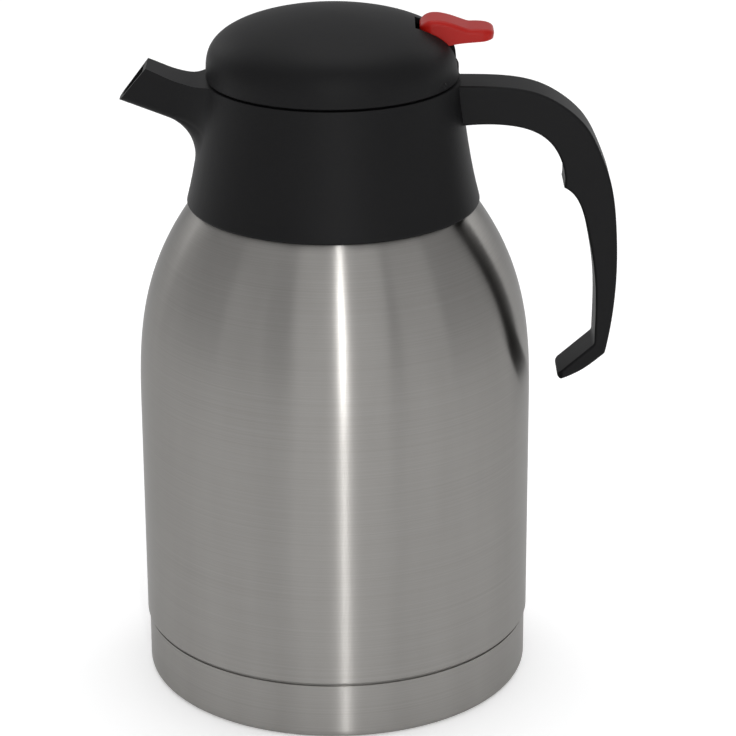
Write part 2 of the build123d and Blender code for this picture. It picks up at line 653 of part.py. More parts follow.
with BuildPart() as lid_dome:
    with BuildSketch(Plane.XZ):
        with BuildLine():
            edge, crown = dome_line(0)
            edge_in, crown_in = dome_line(DOME_WALL)
            Line(crown, crown_in)
            Polyline(edge_in, (edge_in[0], DOME_Z), (edge[0], DOME_Z), edge)
        make_face()
    revolve(axis=Axis.Z)
    rims = lid_dome.edges().filter_by(GeomType.CIRCLE).group_by(Axis.Z)[0]
    chamfer(rims.sort_by(SortBy.RADIUS)[-1], DOME_EDGE)
    add(dome_fittings.part)
    with Locations(Rotation(0, 0, INDEX_DOT_ANGLE) * Location((DOME_R - INDEX_DOT_R / 2, 0, DOT_Z))):
        Sphere(INDEX_DOT_R)
    # Step that the stopper's flange is held in.
    with BuildSketch(Plane.XY.offset(DOME_Z)):
        Circle(FLANGE_R)
    extrude(amount=FLANGE_Z + FLANGE_T - DOME_Z, mode=Mode.SUBTRACT)
    # Slot over the lever, and the notch down the back of the dome.
    with BuildSketch(Plane.XY.offset(NOTCH_TOP_Z)):
        with Locations((LEVER_SLOT_X, 0)):
            Rectangle(DOME_R, 2 * SLOT_HALF, align=(Align.MIN, Align.CENTER))
    extrude(amount=DOME_H, mode=Mode.SUBTRACT)
    with BuildSketch(Plane.XY.offset(NOTCH_FLOOR_Z)):
        with Locations((NOTCH_X + NOTCH_WALL, 0)):
            Rectangle(DOME_R, 2 * SLOT_HALF, align=(Align.MIN, Align.CENTER))
    extrude(amount=DOME_H, mode=Mode.SUBTRACT)
    with BuildSketch(Plane.XZ.offset(-EAR_END_Y)):
        with Locations((PIVOT_X, PIVOT_Z)):
            Circle(LEVER_PIN_R)
    extrude(amount=2 * EAR_END_Y, mode=Mode.SUBTRACT)
lid_dome.part.label = "lid_dome"
export_step(lid_dome.part, "parts/lid_dome.step")


# ---- Stopper ----
CHAMBER_LOW_R = STOPPER_LOW_R - STOPPER_WALL
CHAMBER_R = STOPPER_R - STOPPER_WALL
STEP_Z = WELL_FLOOR_Z + STOPPER_CLEARANCE  # underside of the stopper's wider part, clear of the ledge
WINDOW_Z = STEP_Z + STOPPER_WALL
BOSS_DEPTH = SCREW_LENGTH - CAP_FLANGE_T + SCREW_TIP_ROOM
with BuildPart() as stopper_body:
    with BuildSketch(Plane.XZ):
        with BuildLine():
            Polyline(
                (SEAT_R, STOPPER_FLOOR_Z),
                (STOPPER_LOW_R - DOME_EDGE, STOPPER_FLOOR_Z),
                (STOPPER_LOW_R, STOPPER_FLOOR_Z + DOME_EDGE),
                (STOPPER_LOW_R, GASKET_Z),
                (STOPPER_LOW_R - GASKET_DEPTH, GASKET_Z),
                (STOPPER_LOW_R - GASKET_DEPTH, GASKET_Z + GASKET_H),
                (STOPPER_LOW_R, GASKET_Z + GASKET_H),
                (STOPPER_LOW_R, STEP_Z),
                (STOPPER_R, STEP_Z),
                (STOPPER_R, FLANGE_Z),
                (FLANGE_R, FLANGE_Z),
                (FLANGE_R, FLANGE_Z + FLANGE_T),
                (CHAMBER_R, FLANGE_Z + FLANGE_T),
                (CHAMBER_R, ROOF_TOP_Z),
                (STEM_BORE_R, ROOF_TOP_Z),
                (STEM_BORE_R, STOPPER_ROOF_Z),
                (WIPER_R, STOPPER_ROOF_Z),
                (WIPER_R, STOPPER_ROOF_Z - WIPER_T),
                (WIPER_R + STOPPER_WALL, STOPPER_ROOF_Z - WIPER_T),
                (WIPER_R + STOPPER_WALL, STOPPER_ROOF_Z),
                (CHAMBER_R, STOPPER_ROOF_Z),
                (CHAMBER_R, WINDOW_Z),
                (CHAMBER_LOW_R - GASKET_DEPTH, STEP_Z - STOPPER_WALL),
                (CHAMBER_LOW_R - GASKET_DEPTH, STOPPER_FLOOR_Z + STOPPER_WALL),
                (SEAT_R + STOPPER_WALL, STOPPER_FLOOR_Z + STOPPER_WALL),
                (SEAT_R + STOPPER_WALL / 2, SEAT_Z),
                (SEAT_R, SEAT_Z),
                close=True,
            )
        make_face()
    revolve(axis=Axis.Z)
    # Window of the pouring chamber, towards the spout.
    with BuildSketch(Plane.YZ.offset(-WELL_R)):
        with Locations((0, WINDOW_Z)):
            Rectangle(WINDOW_W, WINDOW_H, align=(Align.CENTER, Align.MIN))
    extrude(amount=WELL_R / 2, mode=Mode.SUBTRACT)
    # Bosses for the screws of the spring cap.
    with BuildSketch(Plane.XY.offset(STOPPER_ROOF_Z)):
        with PolarLocations(CAP_SCREW_PCD_R, 3, start_angle=90):
            Circle(BOSS_R)
    extrude(amount=ROOF_T - BOSS_DEPTH - STOPPER_WALL / 2)
    with BuildSketch(Plane.XY.offset(ROOF_TOP_Z)):
        with PolarLocations(CAP_SCREW_PCD_R, 3, start_angle=90):
            Circle(SCREW_R)
    extrude(amount=-BOSS_DEPTH, mode=Mode.SUBTRACT)
stopper_body.part.label = "stopper_body"
export_step(stopper_body.part, "parts/stopper_body.step")

GASKET_IN_R = STOPPER_LOW_R - GASKET_DEPTH + RUN_FIT / 2
GASKET_OUT_R = NECK_BORE_R - GASKET_GAP
with BuildPart() as stopper_gasket:
    with BuildSketch(Plane.XZ):
        with Locations((GASKET_IN_R, GASKET_Z)):
            Rectangle(GASKET_OUT_R - GASKET_IN_R, GASKET_H, align=(Align.MIN, Align.MIN))
    revolve(axis=Axis.Z)
    fillet(stopper_gasket.edges().filter_by(GeomType.CIRCLE).sort_by(SortBy.RADIUS)[-2:], GASKET_DEPTH / 2)
stopper_gasket.part.label = "stopper_gasket"
export_step(stopper_gasket.part, "parts/stopper_gasket.step")

with BuildPart() as stem_seal:
    with BuildSketch(Plane.XY.offset(STOPPER_ROOF_Z - WIPER_T)):
        Circle(WIPER_R)
        Circle(STEM_BORE_R, mode=Mode.SUBTRACT)
    extrude(amount=WIPER_T)
stem_seal.part.label = "stem_seal"
export_step(stem_seal.part, "parts/stem_seal.step")

CAP_TOP_OUT_Z = CAP_TOP_Z + CAP_WALL
with BuildPart() as spring_cap:
    with BuildSketch(Plane.XZ):
        with BuildLine():
            Polyline(
                (CAP_BORE_R, ROOF_TOP_Z),
                (CAP_FLANGE_R, ROOF_TOP_Z),
                (CAP_FLANGE_R, ROOF_TOP_Z + CAP_FLANGE_T),
                (CAP_BORE_R + CAP_WALL, ROOF_TOP_Z + CAP_FLANGE_T),
                (CAP_BORE_R + CAP_WALL, CAP_TOP_OUT_Z),
                (STEM_BORE_R, CAP_TOP_OUT_Z),
                (STEM_BORE_R, CAP_TOP_Z),
                (CAP_BORE_R, CAP_TOP_Z),
                close=True,
            )
        make_face()
    revolve(axis=Axis.Z)
    with BuildSketch(Plane.XY.offset(ROOF_TOP_Z)):
        with PolarLocations(CAP_SCREW_PCD_R, 3, start_angle=90):
            Circle(SCREW_R)
    extrude(amount=CAP_FLANGE_T, mode=Mode.SUBTRACT)
spring_cap.part.label = "spring_cap"
export_step(spring_cap.part, "parts/spring_cap.step")

SCREW_SEAT_Z = ROOF_TOP_Z + CAP_FLANGE_T
with BuildPart() as cap_screws:
    with BuildSketch(Plane.XY.offset(SCREW_SEAT_Z)):
        with PolarLocations(CAP_SCREW_PCD_R, 3, start_angle=90):
            Circle(SCREW_HEAD_R)
    extrude(amount=SCREW_HEAD_H)
    chamfer(cap_screws.edges().group_by(Axis.Z)[-1], SCREW_HEAD_H / 3)
    with BuildSketch(Plane.XY.offset(SCREW_SEAT_Z)):
        with PolarLocations(CAP_SCREW_PCD_R, 3, start_angle=90):
            Circle(SCREW_R)
    extrude(amount=-SCREW_LENGTH)
cap_screws.part.label = "cap_screws"
export_step(cap_screws.part, "parts/cap_screws.step")


# ---- Pouring valve ----
CLIP_IN_R = STEM_R - CLIP_GROOVE
with BuildPart() as valve_stem:
    with BuildSketch(Plane.XZ):
        with BuildLine():
            Polyline(
                (0, SEAT_Z - FOOT_T),
                (FOOT_R, SEAT_Z - FOOT_T),
                (FOOT_R, SEAT_Z),
                (STEM_R, SEAT_Z),
                (STEM_R, CLIP_Z),
                (CLIP_IN_R, CLIP_Z),
                (CLIP_IN_R, SPRING_Z),
                (STEM_R, SPRING_Z),
                (STEM_R, HEAD_TOP_Z),
                (0, HEAD_TOP_Z),
                close=True,
            )
        make_face()
    revolve(axis=Axis.Z)
    # Flats of the head, and its hole for the cross pin.
    with BuildSketch(Plane.XY.offset(CAP_TOP_OUT_Z + HEAD_ROOM)):
        Circle(2 * STEM_R)
        Rectangle(4 * STEM_R, HEAD_W, mode=Mode.SUBTRACT)
    extrude(amount=HEAD_TOP_Z - CAP_TOP_OUT_Z, mode=Mode.SUBTRACT)
    with BuildSketch(Plane.XZ.offset(-STEM_R)):
        with Locations((0, FORK_Z)):
            Circle(CROSS_PIN_R)
    extrude(amount=2 * STEM_R, mode=Mode.SUBTRACT)
    chamfer(valve_stem.edges().filter_by(Axis.X).group_by(Axis.Z)[-1], HEAD_W / 6)
valve_stem.part.label = "valve_stem"
export_step(valve_stem.part, "parts/valve_stem.step")

PLUG_HUB_R = STEM_R + PLUG_HUB_WALL
with BuildPart() as valve_seal:
    with BuildSketch(Plane.XY.offset(SEAT_Z)):
        Circle(PLUG_R + VALVE_SEAL_LIP)
        Circle(STEM_R, mode=Mode.SUBTRACT)
    extrude(amount=VALVE_SEAL_T)
    fillet(valve_seal.edges().filter_by(GeomType.CIRCLE).sort_by(SortBy.RADIUS)[-2:], VALVE_SEAL_T / 3)
valve_seal.part.label = "valve_seal"
export_step(valve_seal.part, "parts/valve_seal.step")

with BuildPart() as valve_plug:
    with BuildSketch(Plane.XY.offset(PLUG_Z)):
        Circle(PLUG_R)
        Circle(STEM_R, mode=Mode.SUBTRACT)
    extrude(amount=PLUG_H)
    with BuildSketch(Plane.XY.offset(PLUG_Z + PLUG_H)):
        Circle(PLUG_HUB_R)
        Circle(STEM_R, mode=Mode.SUBTRACT)
    extrude(amount=PLUG_HUB_H)
    chamfer(valve_plug.edges().filter_by(GeomType.CIRCLE).sort_by(SortBy.RADIUS)[-1], PLUG_H / 3)
valve_plug.part.label = "valve_plug"
export_step(valve_plug.part, "parts/valve_plug.step")

with BuildPart() as stem_clip:
    with BuildSketch(Plane.XY.offset(CLIP_Z)):
        Circle(CLIP_R)
        Circle(STEM_R + CLIP_ROOM, mode=Mode.SUBTRACT)
        with PolarLocations((CLIP_IN_R + STEM_R + CLIP_LUG_END) / 2, 3, start_angle=60):
            Rectangle(STEM_R + CLIP_LUG_END - CLIP_IN_R, CLIP_LUG_W)
        Circle(CLIP_IN_R, mode=Mode.SUBTRACT)
        Rectangle(2 * CLIP_R, 2 * CLIP_IN_R, align=(Align.MIN, Align.CENTER), mode=Mode.SUBTRACT)
    extrude(amount=CLIP_T)
stem_clip.part.label = "stem_clip"
export_step(stem_clip.part, "parts/stem_clip.step")

with BuildPart() as valve_spring:
    with BuildLine():
        pitch = SPRING_LENGTH / SPRING_TURNS
        coil = Helix(pitch=pitch, height=SPRING_LENGTH, radius=SPRING_R, center=(0, 0, SPRING_Z))
    with BuildSketch(Plane(origin=coil @ 0, z_dir=coil % 0)):
        Circle(SPRING_WIRE_R)
    sweep()
    # Both ends ground flat.
    with BuildSketch(Plane.XY.offset(SPRING_Z)):
        Circle(2 * SPRING_R)
    extrude(amount=SPRING_LENGTH, mode=Mode.INTERSECT)
valve_spring.part.label = "valve_spring"
export_step(valve_spring.part, "parts/valve_spring.step")

CROSS_PIN_END_Y = FORK_W / 2 - RUN_FIT
with BuildPart() as cross_pin:
    with BuildSketch(Plane.XZ.offset(-CROSS_PIN_END_Y)):
        with Locations((0, FORK_Z)):
            Circle(CROSS_PIN_R)
    extrude(amount=2 * CROSS_PIN_END_Y)
    chamfer(cross_pin.edges().filter_by(GeomType.CIRCLE), CROSS_PIN_R / 4)
cross_pin.part.label = "cross_pin"
export_step(cross_pin.part, "parts/cross_pin.step")

with BuildPart() as lever_pin:
    with BuildSketch(Plane.XZ.offset(-EAR_END_Y)):
        with Locations((PIVOT_X, PIVOT_Z)):
            Circle(LEVER_PIN_R)
    extrude(amount=2 * EAR_END_Y)
    chamfer(lever_pin.edges().filter_by(GeomType.CIRCLE), LEVER_PIN_R / 5)
lever_pin.part.label = "lever_pin"
export_step(lever_pin.part, "parts/lever_pin.step")


# ---- Lever ----
def from_hinge(x, z):
    """Point of the lever's side outline, measured from its hinge."""
    return (PIVOT_X + x, PIVOT_Z + z)


PAD_FRONT_TOP = from_hinge(-LEVER_FRONT, PAD_CREST[1] - PAD_FRONT_FALL)
PAD_TAIL_TOP = from_hinge(LEVER_TAIL, PAD_TAIL_RISE)
PAD_TAIL_LOW = from_hinge(LEVER_TAIL - TAIL_UNDERCUT, PAD_TAIL_RISE - PAD_LIP_T)
WEB_BACK = from_hinge(LEVER_BOSS_R, 0)
FORK_END_X = -SLOT_LENGTH / 2 - FORK_TIP
ARM_TOP_Z = PIVOT_Z + LEVER_BOSS_R - ARM_SETBACK
with BuildPart() as lever:
    # Thumb pad and the web down to its hinge, from the side.
    with BuildSketch(Plane.XZ.offset(-LEVER_W / 2)):
        with BuildLine():
            Spline(
                PAD_FRONT_TOP,
                from_hinge(*PAD_CREST),
                from_hinge(*PAD_DISH),
                PAD_TAIL_TOP,
                tangents=[(0.7, 1), (1, -0.15)],
            )
            Line(PAD_TAIL_TOP, PAD_TAIL_LOW)
            Spline(PAD_TAIL_LOW, from_hinge(*PAD_ROOT), WEB_BACK, tangents=[(-1, -0.2), (-1, -0.6)])
            Polyline(WEB_BACK, from_hinge(0, 0), from_hinge(-LEVER_FRONT, 0), PAD_FRONT_TOP)
        make_face()
    extrude(amount=LEVER_W)
    # Rounded corners at front and tail, and then the pad's upper edges.
    ends = lever.faces().sort_by(Axis.X)
    corners = (ends[0].edges() + ends[-1].edges()).filter_by(Axis.Y, reverse=True)
    fillet(corners, PAD_CORNER)
    fillet(lever.faces().sort_by(Axis.Z)[-1].edges(), PAD_EDGE)
    # Hinge boss, and the arm that reaches forward to the valve.
    with BuildSketch(Plane.XZ.offset(-LEVER_W / 2)):
        with Locations((PIVOT_X, PIVOT_Z)):
            Circle(LEVER_BOSS_R)
    extrude(amount=LEVER_W)
    with BuildSketch(Plane.XZ.offset(-FORK_W / 2)):
        Polygon(
            (PIVOT_X, PIVOT_Z - LEVER_BOSS_R),
            (PIVOT_X, ARM_TOP_Z),
            (FORK_END_X, ARM_TOP_Z - ARM_TOP_FALL),
            (FORK_END_X, ARM_LOW_Z),
            align=None,
        )
    extrude(amount=FORK_W)
    fillet(lever.edges().filter_by(Axis.Y).group_by(Axis.X)[0], FORK_ROUND)
    # Gap of the fork, its slots for the cross pin, and the hinge bore.
    with BuildSketch(Plane.XY.offset(ARM_LOW_Z)):
        with Locations((FORK_END_X, 0)):
            Rectangle(STEM_R + FORK_ROOM - FORK_END_X, FORK_GAP, align=(Align.MIN, Align.CENTER))
    extrude(amount=DOME_H, mode=Mode.SUBTRACT)
    with BuildSketch(Plane.XZ.offset(-FORK_W / 2)):
        with Locations((-SLOT_SHIFT, FORK_Z)):
            SlotOverall(SLOT_LENGTH, 2 * (CROSS_PIN_R + RUN_FIT))
    extrude(amount=FORK_W, mode=Mode.SUBTRACT)
    with BuildSketch(Plane.XZ.offset(-LEVER_W / 2)):
        with Locations((PIVOT_X, PIVOT_Z)):
            Circle(LEVER_PIN_R + RUN_FIT)
    extrude(amount=LEVER_W, mode=Mode.SUBTRACT)
lever.part.label = "lever"
export_step(lever.part, "parts/lever.step")
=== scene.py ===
# %% [markdown]
# # A thermal carafe with a press-to-pour lid
#
# The solids of this carafe come from a CAD model. Blender gives them their looks: brushed steel,
# matt moulded plastic, a red thumb lever. Each step makes one piece or one finish. The text cell
# before a step says what the thing is on a real carafe, how it could be made, and why it is made
# this way here.

# %% Load the fixed frame
import math

import bmesh
import bpy
import numpy as np
from mathutils import Matrix, Vector


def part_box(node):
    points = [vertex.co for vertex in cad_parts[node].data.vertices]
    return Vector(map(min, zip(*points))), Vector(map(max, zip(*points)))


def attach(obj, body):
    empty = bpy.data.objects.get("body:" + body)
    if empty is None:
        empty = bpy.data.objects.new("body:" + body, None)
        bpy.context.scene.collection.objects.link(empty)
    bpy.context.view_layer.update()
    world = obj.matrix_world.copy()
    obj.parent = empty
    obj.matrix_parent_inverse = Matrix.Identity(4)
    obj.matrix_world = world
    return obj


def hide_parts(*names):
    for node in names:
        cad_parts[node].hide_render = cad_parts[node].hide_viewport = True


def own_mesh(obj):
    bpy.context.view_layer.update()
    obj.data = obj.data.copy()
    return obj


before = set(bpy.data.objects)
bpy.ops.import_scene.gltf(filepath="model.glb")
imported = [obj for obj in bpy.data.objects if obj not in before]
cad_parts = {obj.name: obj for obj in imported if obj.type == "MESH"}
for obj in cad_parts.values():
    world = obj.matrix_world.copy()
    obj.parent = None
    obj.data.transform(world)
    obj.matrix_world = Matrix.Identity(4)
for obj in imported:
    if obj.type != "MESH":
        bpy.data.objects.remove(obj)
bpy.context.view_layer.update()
MM = 0.001


# %% [markdown]
# ## Colours
#
# A colour is picked from a swatch as an sRGB hex value, and the shader works in linear light. One
# function turns the one into the other, so that each finish below can be read as a swatch.


# %% Colour conversion
def linear(swatch):
    """Linear RGBA of an sRGB hex swatch such as '#8a8a88'."""
    parts = [int(swatch[i : i + 2], 16) / 255 for i in (1, 3, 5)]
    rgb = [v / 12.92 if v <= 0.04045 else ((v + 0.055) / 1.055) ** 2.4 for v in parts]
    return (*rgb, 1.0)


print("mid grey is", [round(v, 3) for v in linear("#808080")])


# %% [markdown]
# ## One helper for nodes
#
# A finish is a small network of nodes, and so is the rule for a shape. Writing each node takes
# three steps: make it, set it, link it. The helper does the three in one line, so that what is
# left to read is the finish or the rule itself.


# %% The node helper
def add(tree, kind, inputs=None, **properties):
    """Add a node. inputs maps an input's name or number to a value, or to (node, output)."""
    node = tree.nodes.new(kind)
    for name, value in properties.items():
        setattr(node, name, value)
    for name, value in (inputs or {}).items():
        if isinstance(value, tuple) and isinstance(value[0], bpy.types.Node):
            tree.links.new(value[0].outputs[value[1]], node.inputs[name])
        else:
            node.inputs[name].default_value = value
    return node


def new_material(name):
    """An empty material, its node tree and its output node."""
    material = bpy.data.materials.new(name)
    material.use_nodes = True
    material.node_tree.nodes.clear()
    output = material.node_tree.nodes.new("ShaderNodeOutputMaterial")
    return material, material.node_tree, output


print("node helpers:", add.__name__, new_material.__name__)


# %% [markdown]
# ## Brushed stainless steel
#
# The body is 304 stainless, spun on a lathe and then brushed while it turns, so every scratch runs
# round it. Such a surface stays sharp sideways and smears light up and down: a lamp shows as one
# tall bright line, and the room as upright bands. A tangent round the axis and an anisotropic
# reflection turned by a quarter give that. A noise stretched round the body draws the scratches.
# Real ones are about 0.05 mm apart, too fine for a picture of the whole carafe, so these are drawn
# 0.3 mm apart. A second noise, in upright patches, is the slight unevenness that the sheet keeps
# from being spun.


# %% Finish: brushed stainless steel
SCRATCH_CELLS = 6.0  # cells of noise per metre along a scratch, so one is about 170 mm long
PATCH_CELLS = (60.0, 60.0, 9.0)  # the same for patches 17 mm wide and 110 mm tall
PATCH_SHARE = 0.35  # how much of the tone comes from the patches, the rest from the scratches
TONE_ENDS = (0.3, 0.7)  # a noise seldom leaves this range, so the two swatches sit at its ends
POLISH_SPREAD = (-0.02, 0.03)  # added to the roughness where the noise is lowest and highest
SCRATCH_DEPTH = 0.02 * MM


def brushed_stainless(name, dark, light, roughness, spacing, anisotropy=0.9, edge="#ffffff"):
    """Steel with scratches round the axis, spacing metres apart; edge tints its grazing light."""
    material, tree, output = new_material(name)
    place = add(tree, "ShaderNodeTexCoord")
    round_it = add(
        tree,
        "ShaderNodeMapping",
        {"Vector": (place, "Object"), "Scale": (SCRATCH_CELLS, SCRATCH_CELLS, 1.0 / spacing)},
    )
    scratch = add(
        tree,
        "ShaderNodeTexNoise",
        {"Vector": (round_it, "Vector"), "Scale": 1.0, "Detail": 5.0, "Roughness": 0.75},
    )
    upright = add(tree, "ShaderNodeMapping", {"Vector": (place, "Object"), "Scale": PATCH_CELLS})
    patches = add(
        tree, "ShaderNodeTexNoise", {"Vector": (upright, "Vector"), "Scale": 1.0, "Detail": 2.0}
    )
    # Sockets 2 and 3 are the two numbers of a Mix node set to numbers; output 0 is its result.
    tone = add(tree, "ShaderNodeMix", {0: PATCH_SHARE, 2: (scratch, "Fac"), 3: (patches, "Fac")})
    shade = add(tree, "ShaderNodeValToRGB", {"Fac": (tone, 0)})
    shade.color_ramp.elements[0].position = TONE_ENDS[0]
    shade.color_ramp.elements[0].color = linear(dark)
    shade.color_ramp.elements[1].position = TONE_ENDS[1]
    shade.color_ramp.elements[1].color = linear(light)
    polish = add(
        tree,
        "ShaderNodeMapRange",
        {
            "Value": (scratch, "Fac"),
            "To Min": roughness + POLISH_SPREAD[0],
            "To Max": roughness + POLISH_SPREAD[1],
        },
    )
    relief = add(
        tree,
        "ShaderNodeBump",
        {"Height": (scratch, "Fac"), "Strength": 0.08, "Distance": SCRATCH_DEPTH},
    )
    around = add(tree, "ShaderNodeTangent", direction_type="RADIAL", axis="Z")
    steel = add(
        tree,
        "ShaderNodeBsdfPrincipled",
        {
            "Base Color": (shade, "Color"),
            "Metallic": 1.0,
            "Specular Tint": linear(edge),
            "Roughness": (polish, "Result"),
            "Anisotropic": anisotropy,
            "Anisotropic Rotation": 0.25,
            "Normal": (relief, "Normal"),
            "Tangent": (around, "Tangent"),
        },
    )
    tree.links.new(steel.outputs["BSDF"], output.inputs["Surface"])
    return material


# Brushed round: one tall, crisp-sided line of light from a lamp, and dark grey beside it. Where the
# wall turns away, the scratches shade one another, so its edge tint is below white.
wall_steel = brushed_stainless(
    "brushed_stainless_304", "#898784", "#989693", 0.3, 0.3 * MM, anisotropy=1.0, edge="#cbcbcb"
)
# Drawn and left as it is: brighter, with a softer and wider shine. Die marks drawn 1.2 mm apart.
vessel_steel = brushed_stainless(
    "drawn_stainless_304", "#b5b4b1", "#c4c3c0", 0.25, 1.2 * MM, anisotropy=0.6
)
print("steel finishes:", wall_steel.name, vessel_steel.name)


# %% [markdown]
# ## Moulded plastics
#
# The collar, handle and dome are injection-moulded polypropylene. The mould is spark-eroded, which
# leaves an even, pebbly grain that scatters light and keeps black plastic from looking wet. The
# grain is about 0.3 mm wide; here it is 0.7 mm, so that it shows. A second, wide noise varies the
# gloss a little, as handling does. The silicone of the seals takes the same network, because it is
# moulded too, with a grain that is only a third as deep.


# %% Finish: moulded plastic
GRAIN = 0.7 * MM  # width of one pebble, about twice the real one
GRAIN_DEPTH = 0.06 * MM
FINE_DEPTH = 0.02 * MM  # depth of the grain that a smoother mould leaves
HANDLING_CELLS = 28.0  # cells of noise per metre, so a handled patch is about 36 mm wide
GLOSS_SPREAD = 0.05  # how far the roughness varies either way
PLASTIC_IOR = 1.49


def moulded_plastic(name, swatch, worn_swatch, roughness, depth=GRAIN_DEPTH, gloss=0.35):
    """Plastic with an eroded-mould grain of this depth, in metres; gloss is its specular level."""
    material, tree, output = new_material(name)
    place = add(tree, "ShaderNodeTexCoord")
    pebbles = add(
        tree,
        "ShaderNodeTexNoise",
        {"Vector": (place, "Object"), "Scale": 1.0 / GRAIN, "Detail": 2.0, "Roughness": 0.6},
    )
    handling = add(
        tree,
        "ShaderNodeTexNoise",
        {"Vector": (place, "Object"), "Scale": HANDLING_CELLS, "Detail": 3.0},
    )
    # Sockets 6 and 7 are the two colours of a Mix node set to colours; output 2 is its result.
    shade = add(
        tree,
        "ShaderNodeMix",
        {0: (handling, "Fac"), 6: linear(swatch), 7: linear(worn_swatch)},
        data_type="RGBA",
    )
    polish = add(
        tree,
        "ShaderNodeMapRange",
        {
            "Value": (handling, "Fac"),
            "To Min": roughness - GLOSS_SPREAD,
            "To Max": roughness + GLOSS_SPREAD,
        },
    )
    relief = add(
        tree, "ShaderNodeBump", {"Height": (pebbles, "Fac"), "Strength": 0.5, "Distance": depth}
    )
    plastic = add(
        tree,
        "ShaderNodeBsdfPrincipled",
        {
            "Base Color": (shade, 2),
            "Roughness": (polish, "Result"),
            "IOR": PLASTIC_IOR,
            "Specular IOR Level": gloss,
            "Normal": (relief, "Normal"),
        },
    )
    tree.links.new(plastic.outputs["BSDF"], output.inputs["Surface"])
    return material


# Matt and near black: it only shows its shape where a lamp grazes it.
black = moulded_plastic("moulded_black_polypropylene", "#0c0c0d", "#121213", 0.52, gloss=0.13)
# A smoother mould: a soft highlight on the thumb pad, and full red in its hollow.
red = moulded_plastic("moulded_red_abs", "#950d05", "#a3130a", 0.42, FINE_DEPTH, gloss=0.2)
# A polished mould, for what slides or seals: a clearer shine than the outside.
inner_black = moulded_plastic("smooth_black_polypropylene", "#141415", "#1c1c1d", 0.38, FINE_DEPTH)
# Milky and soft: pale, with a faint sheen.
silicone = moulded_plastic("white_silicone_rubber", "#d8d8d2", "#e4e4df", 0.45, FINE_DEPTH)
print("plastics:", black.name, red.name, inner_black.name, silicone.name)


# %% [markdown]
# ## Small metal pieces, and which node wears what
#
# Pins, screws, clip and spring are drawn stainless: smooth and bright, with fine marks from the
# die. Under the base there are two pieces that nobody sees once the cup is on. The evacuation hole
# is closed by a drop of brazing metal, which sets dull and even. The getter, which soaks up the
# last gas in the vacuum, is sintered powder: dark, matt, without any direction. All of them are
# metals, so they take the steel's network with other numbers. The table then gives each CAD node
# its finish.


# %% Small metal finishes and the table of finishes
# Smooth metal: small bright lights and dark gaps between them.
wire_steel = brushed_stainless("bright_drawn_stainless", "#b9b8b5", "#c9c8c5", 0.2, 0.4 * MM)
# A set drop: a soft grey sheen without lines.
bead = brushed_stainless(
    "solidified_brazing_metal", "#8f8f8f", "#a0a0a0", 0.4, 1.0 * MM, anisotropy=0.0
)
# Pressed powder: almost no shine at all.
sintered = brushed_stainless(
    "sintered_getter_metal", "#59595b", "#68686a", 0.6, 0.6 * MM, anisotropy=0.0
)

FINISH = {
    "outer_shell": wall_steel,
    "base_cup": wall_steel,
    "inner_vessel": vessel_steel,
    "bottom_disc": vessel_steel,
    "evacuation_seal": bead,
    "getter": sintered,
    "neck_seal": silicone,
    "pour_collar": black,
    "handle": black,
    "lid_dome": black,
    "stopper_body": inner_black,
    "stopper_gasket": silicone,
    "stem_seal": silicone,
    "spring_cap": inner_black,
    "cap_screws": wire_steel,
    "lever_pin": wire_steel,
    "lever": red,
    "valve_stem": inner_black,
    "valve_plug": inner_black,
    "valve_seal": silicone,
    "stem_clip": wire_steel,
    "valve_spring": wire_steel,
    "cross_pin": wire_steel,
}
for node, finish in FINISH.items():
    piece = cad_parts[node]
    piece.data.materials.clear()
    piece.data.materials.append(finish)
print(len(FINISH), "nodes have their finish")


# %% [markdown]
# ## Growing a piece with Geometry Nodes
#
# Some pieces of the carafe follow a rule: the spun wall, the wound spring, the ring of screws, the
# thread. A Geometry Nodes tree states such a rule once, with its sizes as named inputs. The first
# two helpers open a tree with those inputs and close it. The third runs the tree on an empty mesh
# and keeps what it makes as a plain mesh, so that the piece carries no tree. The fourth cleans
# that mesh.


# %% Helpers for Geometry Nodes
MERGE_DISTANCE = 1e-7  # metres
CREASE = math.radians(35.0)  # edges that bend more than this stay sharp


def new_rule(name, sizes):
    """A geometry tree with the named sizes as inputs, its input node and its output node."""
    tree = bpy.data.node_groups.new(name, "GeometryNodeTree")
    tree.interface.new_socket("Geometry", in_out="OUTPUT", socket_type="NodeSocketGeometry")
    for size, value in sizes.items():
        whole = isinstance(value, int)
        kind = "NodeSocketInt" if whole else "NodeSocketFloat"
        tree.interface.new_socket(size, in_out="INPUT", socket_type=kind)
    return tree, tree.nodes.new("NodeGroupInput"), tree.nodes.new("NodeGroupOutput")


def finish_rule(tree, shape, finish, output):
    """End a tree: instances made real, the finish set, and the result handed out."""
    real = add(tree, "GeometryNodeRealizeInstances", {0: (shape, 0)})
    dressed = add(tree, "GeometryNodeSetMaterial", {"Geometry": (real, 0), "Material": finish})
    tree.links.new(dressed.outputs[0], output.inputs[0])


def grow(tree, name, sizes):
    """The piece that a tree makes from these sizes, as a plain mesh."""
    seed = bpy.data.objects.new(name + "_seed", bpy.data.meshes.new(name + "_seed"))
    bpy.context.scene.collection.objects.link(seed)
    rule = seed.modifiers.new("rule", "NODES")
    rule.node_group = tree
    for socket in tree.interface.items_tree:
        if socket.in_out == "INPUT":
            rule[socket.identifier] = sizes[socket.name]
    evaluated = seed.evaluated_get(bpy.context.evaluated_depsgraph_get())
    mesh = bpy.data.meshes.new_from_object(evaluated)
    mesh.name = name
    bpy.data.objects.remove(seed)
    piece = bpy.data.objects.new(name, mesh)
    bpy.context.scene.collection.objects.link(piece)
    return piece


